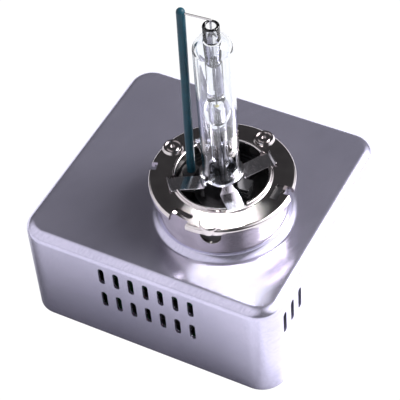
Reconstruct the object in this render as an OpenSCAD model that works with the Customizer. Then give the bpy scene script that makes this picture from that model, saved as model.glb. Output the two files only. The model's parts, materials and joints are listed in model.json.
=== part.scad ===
// Gas-discharge headlight bulb with its igniter and ballast built into one sheet-metal case.
// The case stands on its bottom plate. A short drawn collar rises from its top and carries the
// flange ring, whose upper face is the plane that the headlamp locates the bulb by. The glass
// burner stands on the collar's axis and a ceramic tube beside it insulates the return lead.
// Millimetres, +Z up, origin at the middle of the case's underside.

/* [Case] */
// Width of the case, left to right
case_w = 70; // [70:0.5:76]
// Depth of the case, front to back
case_d = 65; // [65:0.5:70]
// Height of the case
case_h = 30; // [30:0.25:32]
// Thickness of the case's sheet metal
case_wall = 0.8; // [0.6:0.1:1]
// Radius of the upright corners
case_corner_r = 6.5; // [5:0.5:8]
// Radius of the edge round the top
case_edge_r = 2.75; // [2:0.25:3.5]

/* [Vents] */
// Width of one vent slot
vent_w = 1.6; // [1.2:0.1:2.2]
// Distance from one vent slot to the next
vent_pitch = 4.1; // [3.5:0.1:4.5]
// Height of a front vent slot
front_vent_h = 5.5; // [4:0.1:6.5]
// Number of front vent slots in one row
front_vent_columns = 7; // [3:1:8]
// Middle of the first front vent slot, from the case's middle
front_vent_x = -11.4; // [-16:0.1:-8]
// Middle of the lower row of front vents, above the underside
front_vent_low_z = 14.4; // [13:0.1:15]
// Distance between the two rows of front vents
front_vent_row_step = 8.8; // [7.5:0.1:9]
// Height of a side vent slot
side_vent_h = 7; // [5:0.1:8]
// Number of side vent slots
side_vents = 3; // [1:1:5]
// Middle of the first side vent slot, from the case's middle
side_vent_y = -25.4; // [-25.5:0.1:-20]
// Middle of the side vent slots, above the underside
side_vent_z = 21.7; // [18:0.1:22]

/* [Collar] */
// Burner axis to the right of the case's middle
burner_x = 9.3; // [8.5:0.1:10]
// Burner axis behind the case's middle
burner_y = -5.5; // [-6.5:0.1:-5]
// Outside radius of the collar's neck
neck_r = 16; // [15.8:0.05:16.2]
// Thickness of the neck and of the flange ring
collar_sheet = 0.8; // [0.7:0.05:0.9]
// Height of the flange's upper face above the case
collar_rise = 12.4; // [12:0.1:13]
// Outside radius of the flange ring
flange_r = 18; // [17.8:0.1:18.5]
// Radius of the opening in the flange ring
flange_bore_r = 11.3; // [11.2:0.1:11.6]
// Height of the lip round that opening
flange_lip_h = 0.9; // [0.5:0.1:1.2]
// Height of the flange ring's turned-down rim
flange_rim_h = 1.6; // [1.4:0.1:2.2]
// Radius of the round bosses pressed up from the flange ring
boss_r = 2.7; // [2.4:0.1:2.9]
// Distance from the burner axis to the bosses
boss_place_r = 15.5; // [15.3:0.1:15.6]
// Height of the bosses
boss_h = 0.6; // [0.4:0.05:0.7]

/* [Burner] */
// Outside diameter of the glass jacket
jacket_d = 9.3; // [9:0.1:9.6]
// Wall of the glass jacket
jacket_wall = 0.9; // [0.8:0.05:1]
// Height of the jacket's straight part above the flange
jacket_straight_h = 41.3; // [40:0.1:42]
// Diameter of the arc tube's stems and of its tail
stem_d = 4; // [3.7:0.1:4.1]
// Height of the tail's end above the flange
tail_h = 48.5; // [48:0.1:49]
// Height of the middle of the arc chamber above the flange
arc_h = 22.5; // [22:0.1:23]
// Length of the arc chamber's bulge
chamber_l = 9.6; // [9.2:0.1:10]
// Outside diameter of the arc chamber's bulge
chamber_d = 6.4; // [6.2:0.1:6.6]
// Distance between the electrode tips
arc_gap = 4.2; // [3.8:0.1:4.4]

/* [Return lead] */
// Diameter of the ceramic tube
tube_d = 2.1; // [1.9:0.05:2.3]
// Distance from the burner axis to the foot of the ceramic tube
tube_foot_r = 8.2; // [8:0.1:8.4]
// Lean of the ceramic tube towards the burner, in degrees
tube_lean = 1.2; // [0:0.1:1.5]
// Direction of the ceramic tube from the burner axis, in degrees
tube_angle = -176; // [-180:1:-172]
// Height of the bare lead wire above the flange
lead_h = 50; // [49.8:0.1:50.4]
// Diameter of the bare lead wire
lead_d = 0.5; // [0.4:0.05:0.6]

/* [Connector] */
// Middle of the connector to the right of the case's middle
plug_x = -14; // [-15:0.5:-12]
// Middle of the connector above the underside
plug_z = 14.6; // [14:0.1:15]
// Outside width of the connector's shroud
plug_w = 18; // [17:0.5:19]
// Outside height of the connector's shroud
plug_h = 10; // [9.6:0.1:11]
// Wall of the connector's shroud
plug_wall = 1.4; // [1.2:0.1:1.5]
// Depth of the connector's socket
plug_depth = 9; // [8:0.5:9.5]

/* [Hidden] */
$fn = 64;
slip = 0.1;                       // room between loose-fitting parts
cut = 1;                          // how far a cutter runs past the face that it opens
quarter_turns = [0, 90, 180, 270];

// Heights of the parts in the case
plate_t = 1;
frame_h = 5;
frame_wall = 1.5;
board_t = 1.6;
board_low_z = plate_t + frame_h;
board_z = board_low_z + board_t;

// Plan sizes of the parts in the case
inside_w = case_w - 2 * (case_wall + slip);
inside_d = case_d - 2 * (case_wall + slip);
inside_corner_r = case_corner_r - case_wall - slip;
board_gap = 1.1;
board_w = inside_w - 2 * board_gap;
board_d = inside_d - 2 * board_gap;
post_w = 7;

// Screws: the board's are at the corners, the plate's at the middles of the sides
screw_r = 1;
screw_head_r = 1.9;
screw_head_h = 1.3;
screw_l = 3.8;
sink_t = 0.9;
corner_x = board_w / 2 - post_w / 2;
corner_y = board_d / 2 - post_w / 2;
board_screw_places = [for (sy = [-1, 1]) for (sx = [-1, 1]) [sx * corner_x, sy * corner_y]];
plate_screw_places = [[-corner_x, 0], [corner_x, 0], [0, -corner_y], [0, corner_y]];

// Collar heights, all from the flange's upper face
flange_z = case_h + collar_rise;
neck_in_r = neck_r - collar_sheet;
neck_top = -collar_sheet;
neck_foot = -collar_rise - case_wall;
foot_flange_r = neck_r + 3;
base_fillet = 2.4;
ring_land_r = neck_in_r - 2;
well_floor = -8.6;
well_floor_t = 3;
base_boss_r = 7;
boss_angles = [-74, 75, 168];
vent_hole_angle = boss_angles[0];

// Burner sleeve and the arms that hold it to the flange ring
jacket_r = jacket_d / 2;
sleeve_t = 0.8;
sleeve_r = jacket_r + sleeve_t;
sleeve_low = well_floor;
sleeve_top = 2;
arm_angles = [48, -46, -141, 137];
arm_w = 4.4;
arm_t = 0.4;
arm_reach = [13.3, 12.7, 13.3, 13.3];
seat_slip = 0.2;
seat_w = arm_w + 0.8;

// Burner glass and metal
stem_r = stem_d / 2;
jacket_foot = -4.5;
jacket_closed_h = 1;
shoulder_r = 3.4;
stem_low = -10;
foil_w = 1.6;
foil_t = 0.1;
foil_l = 7;
foil_turn = -50;
tail_bore_r = 1.2;
tail_bore_low = 38;
electrode_r = 0.15;
electrode_l = 4.6;
lead_r = lead_d / 2;
cavity_l = 7.2;
cavity_r = 1.35;
foil_gap = arc_gap / 2 + electrode_l;

// Return lead
tube_r = tube_d / 2;
tube_bore_r = lead_r + 0.1;
tube_foot = -4;
tube_top = lead_h + 0.2;
socket_floor = -6;
socket_top = -1.2;
socket_r = 2.1;
return_contact_h = 1.4;

// Igniter, standing on the board under the burner
bobbin_r = 9;
bobbin_h = 17.6;
bobbin_flange_t = 1.2;
bobbin_hub_r = 5;
core_r = 3.2;
winding_r = 8.2;
igniter_top = board_z + bobbin_h;
base_low = igniter_top - flange_z;
contact_h = 3;
contact_r = 2.4;

// ---------- Shared shapes ----------

// Points of an arc round a centre, from angle a0 to angle a1
function arc(centre, r, a0, a1, steps) =
    [for (i = [0:steps]) let (a = a0 + (a1 - a0) * i / steps) centre + r * [cos(a), sin(a)]];

// Places the children on the burner axis, with z counted from the flange's upper face
module at_burner() {
    translate([burner_x, burner_y, flange_z]) children();
}

module rounded_rect(w, d, r) {
    square([w - 2 * r, d], center = true);
    square([w, d - 2 * r], center = true);
    for (sx = [-1, 1]) for (sy = [-1, 1]) translate([sx * (w / 2 - r), sy * (d / 2 - r)]) circle(r);
}

module rounded_plate(w, d, r, t) {
    linear_extrude(t) rounded_rect(w, d, r);
}

// Upright section of the case's side: a wall that is rounded into the top
module edge_section(reach, h, edge) {
    square([reach, h - edge]);
    square([reach - edge, h]);
    translate([reach - edge, h - edge]) circle(edge);
}

// Solid block with rounded upright corners and a rounded top edge
module rounded_case(w, d, h, corner, edge) {
    long_x = w - 2 * corner;
    long_y = d - 2 * corner;
    translate([-long_x / 2, 0, 0]) rotate([90, 0, 90]) linear_extrude(long_x) {
        edge_section(d / 2, h, edge);
        mirror([1, 0]) edge_section(d / 2, h, edge);
    }
    for (turn = [0, 180]) rotate(turn)
        translate([long_x / 2, long_y / 2, 0]) rotate([90, 0, 0]) linear_extrude(long_y)
            edge_section(corner, h, edge);
    for (i = [0:3]) let (side = [[1, 1], [-1, 1], [-1, -1], [1, -1]][i])
        translate([side[0] * long_x / 2, side[1] * long_y / 2, 0]) rotate(quarter_turns[i])
            rotate_extrude(angle = 90) edge_section(corner, h, edge);
}

// Upright slot with round ends, standing in the XZ plane and running along +Y
module slot(w, h, depth) {
    rotate([90, 0, 180]) mirror([1, 0, 0]) linear_extrude(depth) {
        square([w, h - w], center = true);
        for (side = [-1, 1]) translate([0, side * (h - w) / 2]) circle(w / 2);
    }
}

module tube(r_out, r_in, h) {
    difference() {
        cylinder(r = r_out, h = h);
        translate([0, 0, -cut]) cylinder(r = r_in, h = h + 2 * cut);
    }
}

// Round bar from one point to another
module bar(from, to, r) {
    v = to - from;
    l = norm(v);
    translate(from) rotate([0, acos(v[2] / l), atan2(v[1], v[0])]) cylinder(r = r, h = l);
}

// ---------- Case ----------

module ballast_can() {
    color("silver") difference() {
        union() {
            rounded_case(case_w, case_d, case_h, case_corner_r, case_edge_r);
            translate([burner_x, burner_y, case_h]) rotate_extrude()
                polygon(concat([[0, 0], [neck_r + base_fillet, 0]],
                    arc([neck_r + base_fillet, base_fillet], base_fillet, 260, 190, 7),
                    [[0, base_fillet]]));
        }
        translate([0, 0, -cut])
            rounded_case(case_w - 2 * case_wall, case_d - 2 * case_wall, case_h - case_wall + cut,
                case_corner_r - case_wall, case_edge_r - case_wall);
        translate([burner_x, burner_y, case_h - case_wall - cut])
            cylinder(r = neck_r, h = case_wall + base_fillet + 2 * cut);
        for (row = [0, 1]) for (i = [0:front_vent_columns - 1])
            translate([front_vent_x + i * vent_pitch, -case_d / 2 - cut,
                front_vent_low_z + row * front_vent_row_step])
                slot(vent_w, front_vent_h, case_wall + 2 * cut);
        for (i = [0:side_vents - 1])
            translate([case_w / 2 + cut, side_vent_y + i * vent_pitch, side_vent_z]) rotate(90)
                slot(vent_w, side_vent_h, case_wall + 2 * cut);
        translate([plug_x - plug_w / 2, case_d / 2 - case_wall - cut, plug_z - plug_h / 2])
            cube([plug_w, case_wall + 2 * cut, plug_h]);
    }
}

module bottom_plate() {
    color("gainsboro") difference() {
        rounded_plate(inside_w, inside_d, inside_corner_r, plate_t);
        for (place = plate_screw_places) translate([place[0], place[1], 0]) {
            translate([0, 0, -cut]) cylinder(r = screw_r, h = plate_t + 2 * cut);
            translate([0, 0, -sink_t]) cylinder(r1 = screw_head_r + sink_t, r2 = screw_r, h = 2 * sink_t);
        }
    }
}

// Countersunk screw, driven up through the bottom plate into a post of the inner frame
module plate_screw(i) {
    place = plate_screw_places[i];
    drive_r = 0.55;
    color("dimgray") translate([place[0], place[1], 0]) difference() {
        union() {
            cylinder(r1 = (screw_head_r + sink_t + screw_r) / 2, r2 = screw_r, h = sink_t);
            translate([0, 0, sink_t]) cylinder(r = screw_r, h = screw_l - sink_t);
        }
        translate([0, 0, -cut]) cylinder(r = drive_r, h = cut + 0.5, $fn = 6);
    }
}

module inner_frame() {
    color("black") translate([0, 0, plate_t]) difference() {
        union() {
            difference() {
                rounded_plate(inside_w, inside_d, inside_corner_r, frame_h);
                translate([0, 0, -cut])
                    rounded_plate(inside_w - 2 * frame_wall, inside_d - 2 * frame_wall,
                        inside_corner_r - frame_wall, frame_h + 2 * cut);
            }
            for (place = concat(board_screw_places, plate_screw_places))
                translate([place[0] - post_w / 2, place[1] - post_w / 2, 0]) cube([post_w, post_w, frame_h]);
        }
        for (place = board_screw_places)
            translate([place[0], place[1], frame_h + board_t - screw_l])
                cylinder(r = screw_r, h = screw_l + cut);
        for (place = plate_screw_places)
            translate([place[0], place[1], -cut]) cylinder(r = screw_r, h = screw_l - plate_t + cut);
    }
}

module circuit_board() {
    color("darkgreen") translate([0, 0, board_low_z]) difference() {
        rounded_plate(board_w, board_d, inside_corner_r - board_gap, board_t);
        for (place = board_screw_places)
            translate([place[0], place[1], -cut]) cylinder(r = screw_r, h = board_t + 2 * cut);
    }
}

module board_screw(i) {
    place = board_screw_places[i];
    color("dimgray") translate([place[0], place[1], board_z]) difference() {
        union() {
            translate([0, 0, -screw_l]) cylinder(r = screw_r, h = screw_l);
            cylinder(r = screw_head_r, h = screw_head_h);
        }
        translate([0, 0, screw_head_h / 2]) cylinder(r = screw_r, h = screw_head_h, $fn = 6);
    }
}

module thermal_pad() {
    color("slategray") translate([-24, -20, plate_t]) cube([42, 38, frame_h]);
}

// ---------- Connector, in the back wall ----------

plug_face_y = case_d / 2;
plug_back_t = 2.4;
seal_t = 1;
pin_w = 1.2;
pin_t = 0.8;
pin_free_l = 5;
pin_spacing_x = 6;
pin_spacing_z = 3.4;
pin_leg_back = 2.2;
plug_block_y = plug_face_y - plug_depth - plug_back_t;

module connector_housing() {
    color("black") difference() {
        union() {
            translate([plug_x - plug_w / 2, plug_block_y, plug_z - plug_h / 2])
                cube([plug_w, plug_depth + plug_back_t, plug_h]);
            translate([plug_x - plug_w / 2, plug_block_y, board_z])
                cube([plug_w, plug_depth, plug_z - plug_h / 2 - board_z]);
        }
        translate([plug_x - plug_w / 2 + plug_wall, plug_face_y - plug_depth, plug_z - plug_h / 2 + plug_wall])
            cube([plug_w - 2 * plug_wall, plug_depth + cut, plug_h - 2 * plug_wall]);
        for (i = [0:3]) connector_pin_shape(i);
    }
}

module connector_seal() {
    seal_w = 1.6;
    color("dimgray") translate([plug_x, plug_face_y - case_wall - seal_t, plug_z]) difference() {
        translate([-plug_w / 2 - seal_w, 0, -plug_h / 2 - seal_w])
            cube([plug_w + 2 * seal_w, seal_t, plug_h + 2 * seal_w]);
        translate([-plug_w / 2, -cut, -plug_h / 2]) cube([plug_w, seal_t + 2 * cut, plug_h]);
    }
}

// Flat pin that leaves the housing's back and turns down to the board
module connector_pin_shape(i) {
    low = i < 2;
    x = plug_x + (i % 2 == 0 ? -1 : 1) * pin_spacing_x / 2;
    z = plug_z + (low ? -1 : 1) * pin_spacing_z / 2;
    leg_y = plug_block_y - (low ? 1 : 1 + pin_leg_back);
    translate([x - pin_w / 2, leg_y, z - pin_t / 2])
        cube([pin_w, plug_face_y - plug_depth + pin_free_l - leg_y, pin_t]);
    translate([x - pin_w / 2, leg_y, board_z]) cube([pin_w, pin_t, z - board_z]);
}

module connector_pin(i) {
    color("goldenrod") connector_pin_shape(i);
}

// ---------- Parts on the circuit board ----------

module igniter_bobbin() {
    color("ivory") translate([burner_x, burner_y, board_z]) difference() {
        union() {
            cylinder(r = bobbin_r, h = bobbin_flange_t);
            cylinder(r = bobbin_hub_r, h = bobbin_h);
            translate([0, 0, bobbin_h - bobbin_flange_t]) cylinder(r = bobbin_r, h = bobbin_flange_t);
        }
        translate([0, 0, -cut]) cylinder(r = core_r, h = bobbin_h - bobbin_flange_t + cut);
    }
}

module igniter_core() {
    color("dimgray") translate([burner_x, burner_y, board_z])
        cylinder(r = core_r, h = bobbin_h - bobbin_flange_t);
}

module igniter_winding() {
    color("peru") translate([burner_x, burner_y, board_z + bobbin_flange_t])
        tube(winding_r, bobbin_hub_r, bobbin_h - 2 * bobbin_flange_t);
}

module spark_gap() {
    body_r = 3.6;
    cap_r = 3.9;
    cap_l = 1.2;
    body_l = 7;
    color("whitesmoke") translate([27, 9, board_z + cap_r]) rotate([-90, 0, 0]) {
        cylinder(r = cap_r, h = cap_l);
        translate([0, 0, cap_l]) cylinder(r = body_r, h = body_l - 2 * cap_l);
        translate([0, 0, body_l - cap_l]) cylinder(r = cap_r, h = cap_l);
    }
}

module ignition_capacitor() {
    color("firebrick") translate([22, -18, board_z]) cube([9, 14, 12]);
}

module film_capacitor() {
    color("gold") translate([-31, 4, board_z]) cube([14, 9, 13]);
}

module input_capacitor() {
    can_r = 5;
    can_h = 12;
    groove_r = 0.4;
    color("midnightblue") translate([13, 22, board_z]) difference() {
        cylinder(r = can_r, h = can_h);
        translate([0, 0, 2]) rotate_extrude() translate([can_r, 0]) circle(groove_r);
    }
}

module input_choke() {
    color("saddlebrown") translate([4, 12, board_z + 2.6]) rotate_extrude()
        translate([4, 0]) circle(2.6);
}

core_w = 18;
core_d = 13;
core_h = 15;
core_leg = 4;
core_place = [-29, -19, 0];

module transformer_core() {
    color("dimgray") translate(core_place + [0, 0, board_z]) difference() {
        cube([core_w, core_d, core_h]);
        translate([core_leg, -cut, core_leg]) cube([core_w - 2 * core_leg, core_d + 2 * cut, core_h - 2 * core_leg]);
    }
}

module transformer_coil() {
    coil_over = 1.5;
    color("khaki") translate(core_place + [core_leg, -coil_over, board_z + core_leg])
        cube([core_w - 2 * core_leg, core_d + 2 * coil_over, core_h - 2 * core_leg]);
}

module power_switch(i) {
    body = [5.6, 6.1, 2.3];
    tab = [5.2, 1.6, 0.6];
    color("black") translate([-8 + i * 6.6, -29, board_z]) {
        cube(body);
        translate([(body[0] - tab[0]) / 2, body[1], 0]) cube(tab);
    }
}

module controller_chip() {
    chip_w = 9;
    chip_t = 1.4;
    mark_r = 0.6;
    mark_depth = 0.2;
    color("black") translate([-25, -30, board_z]) difference() {
        cube([chip_w, chip_w, chip_t]);
        translate([2 * mark_r, 2 * mark_r, chip_t - mark_depth]) cylinder(r = mark_r, h = cut);
    }
}

// ---------- Collar ----------

module collar_neck() {
    hole_r = 2.6;
    hole_z = -4.4;
    hole_head_h = 1.4;
    color("silver") at_burner() difference() {
        union() {
            translate([0, 0, neck_foot - collar_sheet])
                tube(neck_r, neck_in_r, neck_top - neck_foot + collar_sheet);
            translate([0, 0, neck_foot - collar_sheet]) tube(foot_flange_r, neck_in_r, collar_sheet);
        }
        rotate(vent_hole_angle) translate([neck_in_r - cut, 0, hole_z]) rotate([90, 0, 90])
            linear_extrude(collar_sheet + 2 * cut) {
                intersection() {
                    circle(hole_r);
                    translate([-hole_r, -hole_r]) square([2 * hole_r, hole_r]);
                }
                translate([-hole_r, 0]) square([2 * hole_r, hole_head_h]);
            }
    }
}

// Section through the flange ring, from the raised lip round its opening to its turned-down rim
module flange_section() {
    t = collar_sheet;
    skirt_h = 1.7;
    lip_fillet = 0.5;
    polygon(concat(
        [[flange_bore_r, -skirt_h]],
        arc([flange_bore_r + t / 2, flange_lip_h - t / 2], t / 2, 180, 0, 8),
        arc([flange_bore_r + t + lip_fillet, lip_fillet], lip_fillet, 180, 270, 4),
        arc([flange_r - t, -t], t, 90, 0, 6),
        [[flange_r, -flange_rim_h], [flange_r - t, -flange_rim_h], [flange_r - t, -t],
            [flange_bore_r + t, -t], [flange_bore_r + t, -skirt_h]]));
}

// Section through a boss: a low cone with a ring groove and a dimple in its top
module boss_section() {
    slope = 0.4;
    groove_r = 1.5;
    groove_w = 0.45;
    groove_depth = 0.3;
    dimple_r = 0.55;
    dimple_depth = 0.5;
    polygon([[0, -collar_sheet / 2], [boss_r, -collar_sheet / 2], [boss_r, 0], [boss_r - slope, boss_h],
        [groove_r + groove_w, boss_h], [groove_r + groove_w, boss_h - groove_depth],
        [groove_r, boss_h - groove_depth], [groove_r, boss_h],
        [dimple_r, boss_h], [dimple_r, boss_h - dimple_depth], [0, boss_h - dimple_depth]]);
}

// Cutter for a notch between two radii, w wide and shifted sideways from an angle
module notch(angle, w, from_r, to_r = flange_r + cut, shift = 0) {
    rotate(angle) translate([from_r, shift - w / 2, -flange_rim_h - cut])
        cube([to_r - from_r, w, flange_rim_h + 2 * cut]);
}

module flange_ring() {
    color("silver") at_burner() difference() {
        union() {
            rotate_extrude() flange_section();
            for (a = boss_angles) rotate(a) translate([boss_place_r, 0, 0]) rotate_extrude() boss_section();
            rotate(boss_angles[0]) translate([boss_place_r, 0, -flange_rim_h])
                cylinder(r = boss_r, h = flange_rim_h - collar_sheet / 4);
        }
        notch(-100.5, 4.9, 14.5);
        notch(2, 5, 13.6, to_r = 15.4);
        notch(2, 2.6, 15.4 - slip, shift = 1.2);
        notch(-166, 2.4, 16.3);
        for (i = [0:3]) rotate(arm_angles[i]) translate([flange_bore_r - cut, -seat_w / 2, -arm_t])
            cube([arm_reach[i] + seat_slip - flange_bore_r + cut, seat_w, arm_t + flange_lip_h + cut]);
    }
}

// Black moulding in the neck: a ribbed well whose floor holds the burner's foot
module base_insulator() {
    rib_r = 12.4;
    rib_h = 0.7;
    rib_pitch = 1.35;
    ribs = 4;
    pedestal_r = sleeve_r + 1.6;
    pedestal_top = -5;
    rib_post_angle = 6;
    rib_post_r = 6.9;
    rib_post_w = 2.8;
    color("black") at_burner() difference() {
        union() {
            translate([0, 0, well_floor]) tube(neck_in_r, ring_land_r, neck_top - well_floor);
            for (i = [1:ribs])
                translate([0, 0, neck_top - i * rib_pitch - rib_h]) tube(ring_land_r + slip, rib_r, rib_h);
            translate([0, 0, well_floor - well_floor_t]) cylinder(r = neck_in_r, h = well_floor_t);
            translate([0, 0, well_floor]) cylinder(r = pedestal_r, h = pedestal_top - well_floor);
            translate([0, 0, base_low]) cylinder(r = base_boss_r, h = well_floor - well_floor_t - base_low);
            rotate(rib_post_angle) rib_post(rib_post_r, rib_post_w, rib_pitch);
        }
        translate([0, 0, well_floor]) cylinder(r = sleeve_r, h = 20);
        translate([0, 0, stem_low]) cylinder(r = stem_r, h = well_floor - stem_low + cut);
        translate([0, 0, base_low + contact_h - cut]) cylinder(r = lead_r, h = stem_low - base_low - contact_h + 2 * cut);
        translate([0, 0, base_low - cut]) cylinder(r = contact_r, h = contact_h + cut);
    }
}

// Post beside the sleeve, with ribs across it that lengthen the path of a surface discharge
module rib_post(reach, w, pitch) {
    rib_out = 0.4;
    rib_t = 0.6;
    post_top = -1.4;
    translate([0, -w / 2, well_floor]) cube([reach, w, post_top - well_floor]);
    for (i = [0:3]) translate([0, -w / 2 - rib_out, post_top - i * pitch - rib_t])
        cube([reach + rib_out, w + 2 * rib_out, rib_t]);
}

// Block beside the burner that the ceramic tube and the return contact stand in
module tube_socket() {
    block_w = 6;
    block_in_r = sleeve_r + 1.7;
    block_l = 3.8;
    block_top = -2.6;
    color("black") at_burner() rotate(tube_angle) difference() {
        union() {
            translate([block_in_r, -block_w / 2, well_floor]) cube([block_l, block_w, block_top - well_floor]);
            translate([tube_foot_r + 0.2, 0, well_floor]) cylinder(r = socket_r, h = socket_top - well_floor);
        }
        cylinder(r = sleeve_r + 1.6, h = 40, center = true);
        tube_frame() translate([0, 0, tube_foot]) cylinder(r = tube_r, h = 10);
        tube_frame() translate([0, 0, socket_floor]) cylinder(r = tube_bore_r, h = 10);
        tube_frame() translate([0, 0, socket_floor - return_contact_h]) cylinder(r = lead_r, h = 10);
    }
}

module burner_sleeve() {
    scallop_r = 8;
    scallop_depth = 0.5;
    crimp_w = 1;
    crimp_depth = 1.5;
    color("silver") at_burner() difference() {
        translate([0, 0, sleeve_low]) tube(sleeve_r, jacket_r, sleeve_top - sleeve_low);
        for (a = [-59, 61, 181]) rotate(a)
            translate([0, 0, sleeve_top - scallop_depth + scallop_r]) rotate([0, 90, 0])
                cylinder(r = scallop_r, h = 2 * sleeve_r);
        rotate(-112) translate([0, -crimp_w / 2, sleeve_top - crimp_depth])
            cube([2 * sleeve_r, crimp_w, crimp_depth + cut]);
    }
}

// Strip that runs from the burner sleeve to its seat in the flange ring
module clamp_arm(i) {
    leg_low = -4;
    bend_z = -2.2;
    lip_h = 0.7;
    reach = arm_reach[i];
    strip = [[0, leg_low], [sleeve_r + arm_t, leg_low], [sleeve_r + arm_t, bend_z - arm_t],
        [flange_bore_r - 0.6, -arm_t], [reach, -arm_t], [reach, lip_h],
        [reach - arm_t, lip_h], [reach - arm_t, 0], [flange_bore_r - 0.6, 0], [0, bend_z]];
    color("silver") at_burner() rotate(arm_angles[i]) difference() {
        rotate([90, 0, 0]) translate([0, 0, -arm_w / 2]) linear_extrude(arm_w) polygon(strip);
        translate([0, 0, leg_low - cut]) cylinder(r = sleeve_r, h = 10);
    }
}

// ---------- Burner ----------

module outer_jacket() {
    shoulder_x = jacket_r - shoulder_r;
    inner_r = jacket_r - jacket_wall;
    outer_end = acos((stem_r - shoulder_x) / shoulder_r);
    inner_end = acos((stem_r - shoulder_x) / (shoulder_r - jacket_wall));
    foot_round = 1;
    color([0.85, 0.9, 1, 0.35]) at_burner() rotate_extrude() polygon(concat(
        [[stem_r, jacket_foot]],
        arc([jacket_r - foot_round, jacket_foot + foot_round], foot_round, 270, 360, 4),
        arc([shoulder_x, jacket_straight_h], shoulder_r, 0, outer_end, 10),
        arc([shoulder_x, jacket_straight_h], shoulder_r - jacket_wall, inner_end, 0, 10),
        [[inner_r, jacket_foot + jacket_closed_h], [stem_r, jacket_foot + jacket_closed_h]]));
}

// Half-width of the arc tube's bulge at a distance from the middle of the chamber
function bulge_r(s) = stem_r + (chamber_d / 2 - stem_r) * (0.5 + 0.5 * cos(180 * s / (chamber_l / 2)));

module arc_tube() {
    steps = 14;
    half = chamber_l / 2;
    color([0.8, 0.85, 1, 0.5]) at_burner() difference() {
        union() {
            rotate_extrude() polygon(concat(
                [[0, stem_low], [stem_r, stem_low]],
                [for (i = [0:steps]) let (s = -half + 2 * half * i / steps) [bulge_r(s), arc_h + s]],
                [[stem_r, tail_h - 0.5], [stem_r - 0.5, tail_h], [0, tail_h]]));
        }
        translate([0, 0, arc_h]) rotate_extrude() polygon(
            [for (i = [0:steps]) let (a = -90 + 180 * i / steps) [cavity_r * cos(a), cavity_l / 2 * sin(a)]]);
        translate([0, 0, tail_bore_low]) cylinder(r = tail_bore_r, h = tail_h);
        for (side = [-1, 1]) inner_metal(side);
    }
}

// Everything that the quartz is sealed round on one side of the arc chamber
module inner_metal(side) {
    electrode_shape(side);
    foil_shape(side);
    translate([0, 0, arc_h]) scale([1, 1, side]) translate([0, 0, foil_gap + foil_l]) cylinder(r = lead_r, h = 60);
}

module electrode_shape(side) {
    translate([0, 0, arc_h]) mirror([0, 0, side < 0 ? 1 : 0])
        translate([0, 0, arc_gap / 2]) cylinder(r = electrode_r, h = electrode_l);
}

module foil_shape(side) {
    translate([0, 0, arc_h]) mirror([0, 0, side < 0 ? 1 : 0]) rotate(foil_turn)
        translate([-foil_w / 2, -foil_t / 2, foil_gap]) cube([foil_w, foil_t, foil_l]);
}

module electrode(side) {
    color("gray") at_burner() electrode_shape(side);
}

module foil(side) {
    color("dimgray") at_burner() foil_shape(side);
}

module lead_upper() {
    low = arc_h + foil_gap + foil_l;
    color("gray") at_burner() translate([0, 0, low]) cylinder(r = lead_r, h = lead_h - lead_r - low);
}

module lead_lower() {
    low = base_low + contact_h;
    high = arc_h - foil_gap - foil_l;
    color("gray") at_burner() translate([0, 0, low]) cylinder(r = lead_r, h = high - low);
}

module salt_pellet() {
    pellet_r = 0.45;
    color("khaki") at_burner() translate([0.25, -0.42, arc_h + 2.2]) scale(pellet_r) sphere(r = 1);
}

// ---------- Return lead ----------

// Frame of the ceramic tube: its foot on the flange plane, leaning towards the burner
module tube_frame() {
    translate([tube_foot_r, 0, 0]) rotate([0, -tube_lean, 0]) children();
}

// Distance of the tube's axis from the burner axis at a height above the flange
function tube_axis_r(h) = tube_foot_r - h * tan(tube_lean);

module return_tube() {
    color("darkslategray") at_burner() rotate(tube_angle) difference() {
        tube_frame() union() {
            translate([0, 0, tube_foot]) cylinder(r = tube_r, h = tube_top - tube_foot);
            translate([0, 0, tube_top]) sphere(r = tube_r);
        }
        tube_frame() translate([0, 0, tube_foot - cut]) cylinder(r = tube_bore_r, h = lead_h - tube_foot + cut);
        bar([0, 0, lead_h], [tube_axis_r(lead_h), 0, lead_h], tube_bore_r);
    }
}

module return_wire() {
    elbow = [tube_axis_r(lead_h), 0, lead_h];
    foot = [tube_axis_r(socket_floor), 0, socket_floor];
    color("gray") at_burner() rotate(tube_angle) {
        bar([-lead_r, 0, lead_h], elbow, lead_r);
        translate(elbow) sphere(r = lead_r);
        bar(foot, elbow, lead_r);
    }
}

// ---------- Contacts under the burner ----------

module hv_contact() {
    color("goldenrod") at_burner() translate([0, 0, base_low]) cylinder(r = contact_r, h = contact_h);
}

module return_contact() {
    color("goldenrod") at_burner() rotate(tube_angle) tube_frame()
        translate([0, 0, socket_floor - return_contact_h]) cylinder(r = lead_r, h = return_contact_h);
}

// ---------- Output ----------

ballast_can();
bottom_plate();
inner_frame();
circuit_board();
thermal_pad();
for (i = [0:3]) plate_screw(i);
for (i = [0:3]) board_screw(i);
connector_housing();
connector_seal();
for (i = [0:3]) connector_pin(i);
igniter_bobbin();
igniter_core();
igniter_winding();
spark_gap();
ignition_capacitor();
film_capacitor();
input_capacitor();
input_choke();
transformer_core();
transformer_coil();
for (i = [0:3]) power_switch(i);
controller_chip();
collar_neck();
flange_ring();
base_insulator();
tube_socket();
burner_sleeve();
for (i = [0:3]) clamp_arm(i);
outer_jacket();
arc_tube();
salt_pellet();
electrode(1);  // electrode_upper
electrode(-1);  // electrode_lower
foil(1);  // foil_upper
foil(-1);  // foil_lower
lead_upper();
lead_lower();
return_tube();
return_wire();
hv_contact();
return_contact();
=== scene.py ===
import json
import math

import bmesh
import bpy
from mathutils import Matrix, Vector

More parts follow.
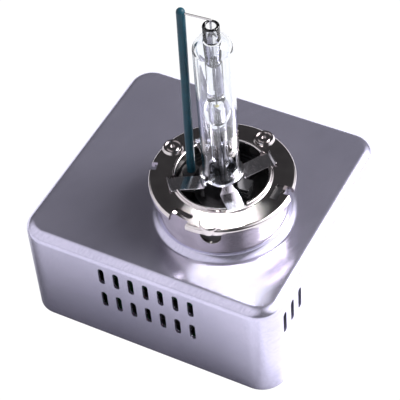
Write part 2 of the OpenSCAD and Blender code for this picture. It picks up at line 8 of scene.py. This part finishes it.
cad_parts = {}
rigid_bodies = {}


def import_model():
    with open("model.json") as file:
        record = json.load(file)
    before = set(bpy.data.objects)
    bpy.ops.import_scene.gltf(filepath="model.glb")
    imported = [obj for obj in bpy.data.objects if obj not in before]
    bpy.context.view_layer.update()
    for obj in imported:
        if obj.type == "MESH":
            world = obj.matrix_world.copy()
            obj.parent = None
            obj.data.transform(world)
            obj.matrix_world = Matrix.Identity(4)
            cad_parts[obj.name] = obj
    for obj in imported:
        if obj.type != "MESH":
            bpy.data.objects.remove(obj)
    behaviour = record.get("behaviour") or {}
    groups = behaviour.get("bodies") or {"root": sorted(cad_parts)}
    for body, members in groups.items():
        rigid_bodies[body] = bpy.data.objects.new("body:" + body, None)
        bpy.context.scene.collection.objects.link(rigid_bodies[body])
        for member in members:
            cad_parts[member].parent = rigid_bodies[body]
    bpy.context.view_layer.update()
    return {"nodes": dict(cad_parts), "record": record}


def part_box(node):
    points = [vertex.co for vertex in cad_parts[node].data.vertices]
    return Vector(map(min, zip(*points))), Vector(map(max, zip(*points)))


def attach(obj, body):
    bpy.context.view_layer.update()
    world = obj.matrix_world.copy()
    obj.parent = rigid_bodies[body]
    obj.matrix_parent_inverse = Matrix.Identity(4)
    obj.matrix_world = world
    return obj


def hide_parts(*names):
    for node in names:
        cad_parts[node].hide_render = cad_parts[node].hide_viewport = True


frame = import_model()

MM = 0.001
BODY = "root"

# ---------- Places worked out from the frame ----------

SLOT_OF = {part["node"]: part["material_slot"] for part in frame["record"]["subparts"]}


def middle(node):
    """Middle of a CAD node's box."""
    low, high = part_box(node)
    return (low + high) / 2


def size(node):
    """Size of a CAD node's box along X, Y and Z."""
    low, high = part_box(node)
    return high - low


burner_axis = middle("outer_jacket")
case_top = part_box("ballast_can")[1].z
flange_face = frame["record"]["mounts"][2]["pos_m"][2]


def at_burner(radius, angle, height):
    """Point at a radius and an angle in degrees round the burner axis, and a height above the flange's face."""
    turn = math.radians(angle)
    return Vector((burner_axis.x + radius * math.cos(turn), burner_axis.y + radius * math.sin(turn),
                   flange_face + height))


# ---------- Materials ----------


class Finish:
    """One procedural material. Pattern places are in millimetres along the row frame's axes."""

    def __init__(self, name, **sockets):
        self.material = bpy.data.materials.new(name)
        self.material.use_nodes = True
        self.tree = self.material.node_tree
        self.shader = self.tree.nodes["Principled BSDF"]
        self.place = self.node("ShaderNodeTexCoord").outputs["Object"]
        self.relief = None
        for words, value in sockets.items():
            self.shader.inputs[words.replace("_", " ")].default_value = value

    def node(self, kind, **settings):
        made = self.tree.nodes.new(kind)
        for name, value in settings.items():
            setattr(made, name, value)
        return made

    def link(self, output, socket):
        self.tree.links.new(output, socket)

    def mapped(self, stretch, turn):
        """Places in mm, turned about Z in degrees, then scaled by stretch."""
        turned = self.node("ShaderNodeMapping")
        turned.inputs["Rotation"].default_value = (0, 0, math.radians(turn))
        turned.inputs["Scale"].default_value = (1 / MM, 1 / MM, 1 / MM)
        stretched = self.node("ShaderNodeMapping")
        stretched.inputs["Scale"].default_value = stretch
        self.link(self.place, turned.inputs["Vector"])
        self.link(turned.outputs["Vector"], stretched.inputs["Vector"])
        return stretched.outputs["Vector"]

    def noise(self, per_mm, stretch=(1, 1, 1), turn=0, detail=3):
        """Noise with per_mm lumps to a millimetre, drawn out along the axes where stretch is small."""
        texture = self.node("ShaderNodeTexNoise")
        texture.inputs["Scale"].default_value = per_mm
        texture.inputs["Detail"].default_value = detail
        self.link(self.mapped(stretch, turn), texture.inputs["Vector"])
        return texture.outputs["Fac"]

    def specks(self, per_mm, share):
        """1 in scattered round specks and 0 elsewhere."""
        cells = self.node("ShaderNodeTexVoronoi")
        cells.inputs["Scale"].default_value = per_mm
        self.link(self.mapped((1, 1, 1), 0), cells.inputs["Vector"])
        return self.between(cells.outputs["Distance"], share, share * 0.5, 0, 1)

    def between(self, factor, start, end, low, high):
        """low where factor is start, high where it is end, and a straight change between them."""
        ranged = self.node("ShaderNodeMapRange")
        for name, value in (("From Min", start), ("From Max", end), ("To Min", low), ("To Max", high)):
            ranged.inputs[name].default_value = value
        self.link(factor, ranged.inputs["Value"])
        return ranged.outputs["Result"]

    def combined(self, operation, first, second):
        result = self.node("ShaderNodeMath", operation=operation)
        self.link(first, result.inputs[0])
        self.link(second, result.inputs[1])
        return result.outputs["Value"]

    def product(self, first, second):
        return self.combined("MULTIPLY", first, second)

    def largest(self, first, second):
        return self.combined("MAXIMUM", first, second)

    def mixed(self, factor, low, high):
        """Colour between low and high, each a colour or another colour output."""
        mix = self.node("ShaderNodeMix", data_type="RGBA")
        self.link(factor, mix.inputs["Factor"])
        for socket, colour in ((mix.inputs[6], low), (mix.inputs[7], high)):
            if isinstance(colour, bpy.types.NodeSocket):
                self.link(colour, socket)
            else:
                socket.default_value = (*colour, 1)
        return mix.outputs[2]

    def colour(self, output):
        self.link(output, self.shader.inputs["Base Color"])
        return self

    def roughness(self, output):
        self.link(output, self.shader.inputs["Roughness"])
        return self

    def bump(self, factor, depth_mm):
        """Adds relief of a depth, on top of the relief already there."""
        raised = self.node("ShaderNodeBump")
        raised.inputs["Distance"].default_value = depth_mm * MM
        self.link(factor, raised.inputs["Height"])
        if self.relief is not None:
            self.link(self.relief, raised.inputs["Normal"])
        self.relief = raised.outputs["Normal"]
        self.link(self.relief, self.shader.inputs["Normal"])
        return self


def brushed(name, dark, light, smooth, rough, turn=0, streak_mm=0.0001, metallic=1.0, dust=False):
    """Metal with fine streaks in one direction, cloudy changes of tone, faint scuffs and, if dusty, pale specks."""
    made = Finish(name, Metallic=metallic)
    streaks = made.noise(3.5, stretch=(0.03, 1, 0.4), turn=turn, detail=5)
    clouds = made.noise(0.06, detail=2)
    scuffs = made.noise(1.2, stretch=(0.12, 1, 1), turn=turn + 20, detail=5)
    base = made.mixed(made.between(clouds, 0.3, 0.7, 0, 1), dark, light)
    base = made.mixed(made.between(scuffs, 0.6, 0.8, 0, 0.25), base, [min(1, c * 1.15) for c in light])
    base = made.mixed(made.between(streaks, 0.58, 0.36, 0, 0.3), base, [c * 0.72 for c in dark])
    if dust:
        sparse = made.between(made.noise(0.09, detail=1), 0.5, 0.56, 0, 0.8)
        specks = made.specks(0.3, 0.055)
        base = made.mixed(made.product(specks, sparse), base, (0.88, 0.88, 0.95))
    made.colour(base)
    made.roughness(made.between(streaks, 0.3, 0.7, smooth, rough))
    made.bump(streaks, streak_mm)
    made.bump(clouds, 0.001)
    return made.material


def polished(name, dark, light, smooth, rough, wave_mm=0.004):
    """Plated metal with soft waves left by pressing, faint scuffs and uneven polish."""
    made = Finish(name, Metallic=1.0)
    waves = made.noise(0.3, detail=1)
    scuffs = made.noise(2.5, stretch=(0.3, 1, 1), turn=40, detail=4)
    made.colour(made.mixed(made.between(waves, 0.3, 0.7, 0, 1), dark, light))
    made.roughness(made.between(scuffs, 0.35, 0.75, smooth, rough))
    made.bump(waves, wave_mm)
    made.bump(scuffs, 0.0001)
    return made.material


def moulded(name, dark, light, roughness, grain_mm=0.004, gloss=0.5, **sockets):
    """Moulded or cast material with a fine grain, uneven tone and rubbed patches."""
    made = Finish(name, **sockets)
    made.shader.inputs["Specular IOR Level"].default_value = gloss
    grain = made.noise(7, detail=4)
    clouds = made.noise(0.3, detail=4)
    made.colour(made.mixed(made.between(clouds, 0.3, 0.7, 0, 1), dark, light))
    made.roughness(made.between(clouds, 0.25, 0.75, roughness - 0.08, roughness + 0.1))
    made.bump(grain, grain_mm)
    return made.material


def clear_glass(name, tint, rim_tint, ior, ripple_mm):
    """Fused glass with slight drawn ripples, coloured where it is seen edge-on."""
    made = Finish(name, Transmission_Weight=1.0, IOR=ior)
    drawn = made.noise(0.5, stretch=(1, 1, 0.15), detail=2)
    haze = made.noise(0.6, detail=3)
    edge_on = made.node("ShaderNodeLayerWeight")
    edge_on.inputs["Blend"].default_value = 0.5
    made.colour(made.mixed(made.between(edge_on.outputs["Facing"], 0.72, 0.98, 0, 1), tint, rim_tint))
    made.roughness(made.between(haze, 0.45, 0.8, 0.0, 0.05))
    made.bump(drawn, ripple_mm)
    return made.material


def laminate(name):
    """Lacquered circuit board with the faint relief of copper tracks under the green."""
    made = Finish(name, Coat_Weight=0.4, Coat_Roughness=0.15)
    weave = made.noise(4, detail=2)
    tracks = made.node("ShaderNodeTexVoronoi", feature="DISTANCE_TO_EDGE")
    tracks.inputs["Scale"].default_value = 0.35
    made.link(made.mapped((1, 1, 0.05), 0), tracks.inputs["Vector"])
    track = made.between(tracks.outputs["Distance"], 0.05, 0.09, 1, 0)
    ground = made.mixed(made.between(weave, 0.3, 0.7, 0, 1), (0.02, 0.13, 0.055), (0.03, 0.17, 0.075))
    made.colour(made.mixed(track, ground, (0.06, 0.25, 0.11)))
    made.roughness(made.between(weave, 0.3, 0.7, 0.3, 0.45))
    made.bump(track, 0.03)
    return made.material


def wound(name, dark, light, per_mm):
    """Turns of enamelled wire lying side by side up a winding, with painted shade in the creases between the turns.
    """
    made = Finish(name, Metallic=0.7)
    turns = made.node("ShaderNodeTexWave", bands_direction="Z", wave_profile="SIN")
    turns.inputs["Scale"].default_value = per_mm * math.tau / 20
    made.link(made.mapped((1, 1, 1), 0), turns.inputs["Vector"])
    uneven = made.noise(1.5, detail=3)
    # The colour follows the waves of the relief and is darker in the creases between the turns: painted shade.
    made.colour(made.mixed(made.between(turns.outputs["Fac"], 0.1, 0.9, 0, 1), dark, light))
    made.roughness(made.between(uneven, 0.3, 0.7, 0.22, 0.4))
    made.bump(turns.outputs["Fac"], 0.12)
    return made.material


MATERIALS = {
    "case_metal": brushed("case_metal", (0.5, 0.485, 0.62), (0.56, 0.54, 0.68), 0.17, 0.23, turn=-63,
                          metallic=0.85, dust=True),
    "plate_metal": brushed("plate_metal", (0.62, 0.62, 0.64), (0.74, 0.74, 0.76), 0.25, 0.42, turn=0),
    "screw_steel": brushed("screw_steel", (0.36, 0.36, 0.38), (0.5, 0.5, 0.53), 0.2, 0.45, turn=30),
    "black_moulding": moulded("black_moulding", (0.008, 0.008, 0.009), (0.02, 0.02, 0.022), 0.38),
    "board_laminate": laminate("board_laminate"),
    "heat_pad": moulded("heat_pad", (0.29, 0.32, 0.36), (0.36, 0.39, 0.43), 0.75, grain_mm=0.02),
    "seal_rubber": moulded("seal_rubber", (0.045, 0.045, 0.05), (0.075, 0.075, 0.08), 0.65, gloss=0.35),
    "contact_brass": brushed("contact_brass", (0.74, 0.56, 0.23), (0.88, 0.7, 0.34), 0.12, 0.3, turn=0),
    "bobbin_moulding": moulded("bobbin_moulding", (0.74, 0.7, 0.6), (0.84, 0.81, 0.72), 0.45),
    "ferrite": moulded("ferrite", (0.07, 0.07, 0.08), (0.12, 0.12, 0.13), 0.6, grain_mm=0.015),
    "copper_wire": wound("copper_wire", (0.28, 0.09, 0.035), (0.78, 0.36, 0.17), 2.2),
    "coil_tape": moulded("coil_tape", (0.7, 0.6, 0.24), (0.82, 0.74, 0.36), 0.25, Coat_Weight=0.5),
    "spark_gap_ceramic": moulded("spark_gap_ceramic", (0.8, 0.8, 0.77), (0.9, 0.9, 0.88), 0.3),
    "red_epoxy": moulded("red_epoxy", (0.42, 0.05, 0.035), (0.56, 0.08, 0.055), 0.2, Coat_Weight=0.6),
    "yellow_film": moulded("yellow_film", (0.74, 0.53, 0.07), (0.84, 0.65, 0.13), 0.25, Coat_Weight=0.4),
    "blue_sleeve": moulded("blue_sleeve", (0.035, 0.05, 0.18), (0.06, 0.085, 0.26), 0.28, Coat_Weight=0.4),
    "choke_core": moulded("choke_core", (0.29, 0.16, 0.07), (0.4, 0.24, 0.11), 0.5),
    "chip_epoxy": moulded("chip_epoxy", (0.02, 0.02, 0.02), (0.04, 0.04, 0.04), 0.55),
    "collar_nickel": polished("collar_nickel", (0.5, 0.465, 0.47), (0.6, 0.56, 0.565), 0.06, 0.16),
    "clamp_steel": polished("clamp_steel", (0.62, 0.6, 0.64), (0.74, 0.72, 0.76), 0.1, 0.24),
    "jacket_glass": clear_glass("jacket_glass", (0.95, 0.965, 1.0), (0.3, 0.55, 0.8), 1.46, 0.004),
    "arc_quartz": clear_glass("arc_quartz", (0.98, 0.985, 1.0), (0.72, 0.76, 0.9), 1.46, 0.003),
    "metal_salts": moulded("metal_salts", (0.8, 0.74, 0.3), (0.9, 0.86, 0.5), 0.5, grain_mm=0.05),
    "tungsten": brushed("tungsten", (0.28, 0.28, 0.3), (0.42, 0.42, 0.45), 0.25, 0.5),
    "molybdenum": brushed("molybdenum", (0.36, 0.36, 0.4), (0.5, 0.5, 0.54), 0.2, 0.4),
    "lead_wire": brushed("lead_wire", (0.5, 0.48, 0.48), (0.7, 0.68, 0.68), 0.15, 0.35),
    "teal_ceramic": moulded("teal_ceramic", (0.005, 0.035, 0.055), (0.009, 0.055, 0.08), 0.4, grain_mm=0.003,
                            gloss=0.2),
}


def finish(piece, slot):
    """Gives a piece the material of its slot in the record and the body that it rides on."""
    piece.data.materials.clear()
    piece.data.materials.append(MATERIALS[slot])
    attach(piece, BODY)
    return piece


# ---------- Shared shapes ----------

SMOOTH_UNDER = math.radians(32)


def piece_from(mesh, name, keep_normals=False):
    """An object made from a bmesh, smooth except at its sharp edges."""
    if not keep_normals:
        bmesh.ops.recalc_face_normals(mesh, faces=mesh.faces)
    data = bpy.data.meshes.new(name)
    mesh.to_mesh(data)
    mesh.free()
    data.shade_smooth()
    data.set_sharp_from_angle(angle=SMOOTH_UNDER)
    piece = bpy.data.objects.new(name, data)
    bpy.context.scene.collection.objects.link(piece)
    return piece


def lathe(outline, turns=96):
    """A bmesh turned round the burner axis from (radius, height) points in mm that start and end on the axis
    or close on themselves."""
    mesh = bmesh.new()
    closed = outline[0] != outline[-1] and (outline[0][0] > 0 or outline[-1][0] > 0)
    rings = []
    for radius, height in outline:
        if radius == 0:
            rings.append([mesh.verts.new(at_burner(0, 0, height * MM))])
        else:
            rings.append([mesh.verts.new(at_burner(radius * MM, 360 * i / turns, height * MM)) for i in range(turns)])
    pairs = list(zip(rings, rings[1:]))
    if closed:
        pairs.append((rings[-1], rings[0]))
    for lower, upper in pairs:
        for i in range(turns):
            j = (i + 1) % turns
            corners = [lower[i % len(lower)], lower[j % len(lower)], upper[j % len(upper)], upper[i % len(upper)]]
            face = list(dict.fromkeys(corners))
            if len(face) > 2:
                mesh.faces.new(face)
    return mesh


def arc(centre, radius, start, end, steps=12):
    """Points of an arc in the (radius, height) plane, in mm and degrees."""
    return [(centre[0] + radius * math.cos(math.radians(start + (end - start) * i / steps)),
             centre[1] + radius * math.sin(math.radians(start + (end - start) * i / steps)))
            for i in range(steps + 1)]


def softened(node, width_mm):
    """A copy of a CAD node with its sharp edges rounded over, which stands for the node."""
    mesh = bmesh.new()
    mesh.from_mesh(frame["nodes"][node].data)
    bmesh.ops.remove_doubles(mesh, verts=mesh.verts, dist=1e-7)
    bmesh.ops.dissolve_limit(mesh, angle_limit=math.radians(0.5), verts=mesh.verts, edges=mesh.edges)
    piece = piece_from(mesh, node + "_shape")
    edges = piece.modifiers.new("rounded_edges", "BEVEL")
    edges.width = width_mm * MM
    edges.segments = 3
    edges.limit_method = "ANGLE"
    edges.angle_limit = math.radians(36)
    flats = piece.modifiers.new("flat_faces_stay_flat", "WEIGHTED_NORMAL")
    flats.keep_sharp = True
    flats.thresh = 0
    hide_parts(node)
    return finish(piece, SLOT_OF[node])


# ---------- Pieces ----------

# Glass sizes in mm that the frame's boxes don't give
STEM_R = 2.0
GLASS_GAP = 0.02
JACKET_WALL = 0.9
SHOULDER_R = 3.4
FOOT_ROUND = 1.0
CHAMBER_R = 3.2
CHAMBER_HALF = 4.8
CAVITY_R = 1.35
CAVITY_HALF = 3.6
TAIL_BORE_R = 1.2
TAIL_BORE_LOW = 38
SALT_ABOVE_MIDDLE = 2.2

EDGE_WIDTHS = {
    "ballast_can": 0.14, "bottom_plate": 0.12, "flange_ring": 0.12, "collar_neck": 0.1, "burner_sleeve": 0.12,
    "base_insulator": 0.12, "tube_socket": 0.15, "clamp_arm": 0.08, "plate_screw": 0.12, "board_screw": 0.12,
    "connector_housing": 0.2, "connector_seal": 0.2, "connector_pin": 0.12,
}


OTHER_EDGE_WIDTH = 0.1
TURNED_GLASS = ("outer_jacket", "arc_tube")
KEPT_AS_CAD = ("salt_pellet", "electrode_upper", "electrode_lower", "foil_upper", "foil_lower", "lead_upper",
               "lead_lower", "return_wire", "return_tube")


def edge_width(node):
    """Width in mm of the rounding on a node's sharp edges."""
    for start, width in EDGE_WIDTHS.items():
        if node.startswith(start):
            return width
    return OTHER_EDGE_WIDTH


for node in sorted(frame["nodes"]):
    if node not in TURNED_GLASS + KEPT_AS_CAD:
        softened(node, edge_width(node))


def made_of_glass(name, node, outside, hollow=None):
    """Turned glass that stands for a CAD node. A hollow is a closed outline inside the glass."""
    mesh = bmesh.new()
    for outline, is_hollow in ((outside, False), (hollow, True)):
        if outline is None:
            continue
        part = lathe(outline)
        bmesh.ops.recalc_face_normals(part, faces=part.faces)
        if is_hollow:
            bmesh.ops.reverse_faces(part, faces=part.faces)
        data = bpy.data.meshes.new("part")
        part.to_mesh(data)
        part.free()
        mesh.from_mesh(data)
        bpy.data.meshes.remove(data)
    piece = piece_from(mesh, name, keep_normals=True)
    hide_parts(node)
    return finish(piece, SLOT_OF[node])


def jacket():
    """Glass jacket: a rounded foot, a straight tube and a shoulder drawn in to the arc tube's stem."""
    radius = size("outer_jacket").x / 2 / MM
    low = (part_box("outer_jacket")[0].z - flange_face) / MM
    high = (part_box("outer_jacket")[1].z - flange_face) / MM
    stem = STEM_R + GLASS_GAP
    shoulder = SHOULDER_R
    inner = radius - JACKET_WALL
    turn_in = radius - shoulder
    steepest = math.degrees(math.acos((stem - turn_in) / shoulder))
    straight = high - shoulder * math.sin(math.radians(steepest))
    inner_steepest = math.degrees(math.acos((stem - turn_in) / (shoulder - JACKET_WALL)))
    outline = [(stem, low)]
    outline += arc((radius - FOOT_ROUND, low + FOOT_ROUND), FOOT_ROUND, -90, 0, 12)
    outline += arc((turn_in, straight), shoulder, 0, steepest, 32)
    outline += arc((turn_in, straight), shoulder - JACKET_WALL, inner_steepest, 0, 32)
    outline += arc((inner - FOOT_ROUND, low + 1 + FOOT_ROUND), FOOT_ROUND, 0, -90, 10)
    outline += [(stem, low + 1)]
    return made_of_glass("outer_jacket_glass", "outer_jacket", outline)


def arc_tube():
    """Quartz arc tube: a stem, the bulging chamber with its cavity, and a tail that is open at its end."""
    low = (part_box("arc_tube")[0].z - flange_face) / MM
    high = (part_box("arc_tube")[1].z - flange_face) / MM
    lip = (STEM_R - TAIL_BORE_R) / 2
    middle_h = (middle("salt_pellet").z - flange_face) / MM - SALT_ABOVE_MIDDLE

    def bulge(s):
        return STEM_R + (CHAMBER_R - STEM_R) * (0.5 + 0.5 * math.cos(math.pi * s / CHAMBER_HALF))

    steps = 48
    outline = [(0, low), (STEM_R, low)]
    outline += [(bulge(s), middle_h + s) for s in (CHAMBER_HALF * (2 * i / steps - 1) for i in range(steps + 1))]
    outline += arc((TAIL_BORE_R + lip, high - lip), lip, 0, 180, 12)
    outline += arc((0, TAIL_BORE_LOW), TAIL_BORE_R, 0, -90, 12)[:-1] + [(0, TAIL_BORE_LOW - TAIL_BORE_R)]
    cavity = [(0, middle_h - CAVITY_HALF)]
    cavity += [(CAVITY_R * math.cos(a), middle_h + CAVITY_HALF * math.sin(a))
               for a in (math.pi * (i / steps - 0.5) for i in range(1, steps))]
    cavity += [(0, middle_h + CAVITY_HALF)]
    return made_of_glass("arc_tube_quartz", "arc_tube", outline, cavity)


jacket()
arc_tube()

for node in KEPT_AS_CAD:
    cad = frame["nodes"][node]
    cad.data.materials.clear()
    cad.data.materials.append(MATERIALS[SLOT_OF[node]])

# ---------- Stage ----------

# How far in front of the case the floor's painted shade reaches.
SHADE_REACH = 24 * MM


def floor_material():
    """Pale paper. The camera sees it white; reflections see a painted shade on it, close in front of the case."""
    made = Finish("studio_paper", Roughness=0.9)
    across = made.node("ShaderNodeSeparateXYZ")
    made.link(made.place, across.inputs["Vector"])
    case_low, case_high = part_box("ballast_can")
    away = made.between(across.outputs["Y"], case_low.y, case_low.y - SHADE_REACH, 0, 1)
    beside = made.between(across.outputs["X"], case_high.x - 6 * MM, case_high.x + 6 * MM, 0, 1)
    behind = made.between(across.outputs["Y"], case_low.y, case_low.y + 6 * MM, 0, 1)
    painted_lit_share = made.largest(made.largest(away, beside), behind)
    # Painted shade: the floor's colour is dark at the case's front face and pale further away, beside the case and
    # behind it.
    made.colour(made.mixed(painted_lit_share, (0.2, 0.2, 0.21), (0.82, 0.82, 0.85)))
    glow = made.node("ShaderNodeEmission")
    glow.inputs["Strength"].default_value = 1.05
    seen = made.node("ShaderNodeLightPath")
    mix = made.node("ShaderNodeMixShader")
    made.link(made.largest(seen.outputs["Is Camera Ray"], seen.outputs["Is Transmission Ray"]), mix.inputs["Fac"])
    made.link(made.shader.outputs["BSDF"], mix.inputs[1])
    made.link(glow.outputs["Emission"], mix.inputs[2])
    made.link(mix.outputs["Shader"], made.tree.nodes["Material Output"].inputs["Surface"])
    return made.material


def floor():
    mesh = bmesh.new()
    bmesh.ops.create_grid(mesh, x_segments=8, y_segments=8, size=1.5)
    bmesh.ops.translate(mesh, verts=mesh.verts, vec=(0, 0, -0.05 * MM))
    piece = piece_from(mesh, "floor")
    piece.data.materials.append(floor_material())


def looking(place, target, roll=0.0):
    """Matrix that puts a camera or a light at a place, facing a target."""
    back = (place - target).normalized()
    right = Vector((0, 0, 1)).cross(back).normalized()
    up = back.cross(right)
    turned_right = right * math.cos(roll) + up * math.sin(roll)
    turned_up = up * math.cos(roll) - right * math.sin(roll)
    return Matrix.Translation(place) @ Matrix((turned_right, turned_up, back)).transposed().to_4x4()


def direction(azimuth, elevation):
    """Direction towards a camera or light at an azimuth and elevation in degrees; azimuth 0 is the front."""
    a, e = math.radians(azimuth), math.radians(elevation)
    return Vector((math.sin(a) * math.cos(e), -math.cos(a) * math.cos(e), math.sin(e)))


def soft_light(name, azimuth, elevation, distance, width, height, strength, target):
    """A soft rectangular light that faces a target."""
    data = bpy.data.lights.new(name, "AREA")
    data.shape = "RECTANGLE"
    data.size = width
    data.size_y = height
    data.energy = strength
    light = bpy.data.objects.new(name, data)
    light.matrix_world = looking(target + direction(azimuth, elevation) * distance, target)
    bpy.context.scene.collection.objects.link(light)
    return light


def patch_light():
    """A narrow beam that leaves one soft bright patch on the case in front of the collar. No piece is in its
    way, because a light in that place would otherwise be blocked by the collar."""
    target = at_burner(23 * MM, -61, 0)
    target.z = case_top
    data = bpy.data.lights.new("window_beam", "SPOT")
    data.energy = 0.55
    data.spot_size = math.radians(1.4)
    data.spot_blend = 0.7
    data.shadow_soft_size = 0.002
    light = bpy.data.objects.new("window_beam", data)
    light.matrix_world = looking(target + direction(210, 49), target)
    bpy.context.scene.collection.objects.link(light)
    clear = bpy.data.collections.new("out_of_the_beam")
    for piece in bpy.data.objects:
        if piece.type == "MESH":
            clear.objects.link(piece)
    light.light_linking.blocker_collection = clear
    for entry in clear.collection_objects:
        entry.light_linking.link_state = "EXCLUDE"


CAMERA_AZIMUTH = 31.19
CAMERA_ELEVATION = 47.91
CAMERA_ROLL = math.radians(-5.28)
CAMERA_DISTANCE = 433 * MM
CAMERA_TARGET = Vector((-5.95 * MM, 8.36 * MM, 12.25 * MM))


def camera():
    data = bpy.data.cameras.new("camera")
    data.lens = 148.15
    data.sensor_width = 36
    data.clip_start = 0.01
    data.clip_end = 20
    view = bpy.data.objects.new("camera", data)
    place = CAMERA_TARGET + direction(CAMERA_AZIMUTH, CAMERA_ELEVATION) * CAMERA_DISTANCE
    view.matrix_world = looking(place, CAMERA_TARGET, CAMERA_ROLL)
    bpy.context.scene.collection.objects.link(view)
    bpy.context.scene.camera = view


def surroundings():
    """A dark studio with a wide white wall on the left and one on the right. The camera sees white behind."""
    world = bpy.data.worlds.new("studio")
    world.use_nodes = True
    tree = world.node_tree
    sky = tree.nodes["Background"]
    place = tree.nodes.new("ShaderNodeTexCoord").outputs["Generated"]

    def wall(azimuth, elevation, inner, outer, strength):
        """strength within the inner angle of a direction, and nothing beyond the outer angle."""
        along = tree.nodes.new("ShaderNodeVectorMath")
        along.operation = "DOT_PRODUCT"
        along.inputs[1].default_value = direction(azimuth, elevation)
        tree.links.new(place, along.inputs[0])
        ranged = tree.nodes.new("ShaderNodeMapRange")
        ranged.interpolation_type = "SMOOTHSTEP"
        ranged.inputs["From Min"].default_value = math.cos(math.radians(outer))
        ranged.inputs["From Max"].default_value = math.cos(math.radians(inner))
        ranged.inputs["To Max"].default_value = strength
        tree.links.new(along.outputs["Value"], ranged.inputs["Value"])
        return ranged.outputs["Result"]

    def total(first, second):
        added = tree.nodes.new("ShaderNodeMath")
        added.operation = "ADD"
        tree.links.new(first, added.inputs[0])
        if isinstance(second, float):
            added.inputs[1].default_value = second
        else:
            tree.links.new(second, added.inputs[1])
        return added.outputs["Value"]

    walls = total(wall(-45, 35, 34, 60, 1.15), wall(118, 35, 28, 50, 1.8))
    tree.links.new(total(walls, 0.06), sky.inputs["Strength"])
    sky.inputs["Color"].default_value = (0.97, 0.96, 1, 1)
    backdrop = tree.nodes.new("ShaderNodeBackground")
    backdrop.inputs["Color"].default_value = (1, 1, 1, 1)
    backdrop.inputs["Strength"].default_value = 1.05
    seen = tree.nodes.new("ShaderNodeLightPath")
    mix = tree.nodes.new("ShaderNodeMixShader")
    straight = tree.nodes.new("ShaderNodeMath")
    straight.operation = "MAXIMUM"
    tree.links.new(seen.outputs["Is Camera Ray"], straight.inputs[0])
    tree.links.new(seen.outputs["Is Transmission Ray"], straight.inputs[1])
    tree.links.new(straight.outputs["Value"], mix.inputs["Fac"])
    tree.links.new(sky.outputs["Background"], mix.inputs[1])
    tree.links.new(backdrop.outputs["Background"], mix.inputs[2])
    tree.links.new(mix.outputs["Shader"], tree.nodes["World Output"].inputs["Surface"])
    bpy.context.scene.world = world


floor()
camera()
surroundings()
soft_light("key_light", 122, 40, 0.9, 0.6, 0.6, 16, Vector((0, 0, 0)))
patch_light()
bpy.context.scene.view_settings.view_transform = "Standard"
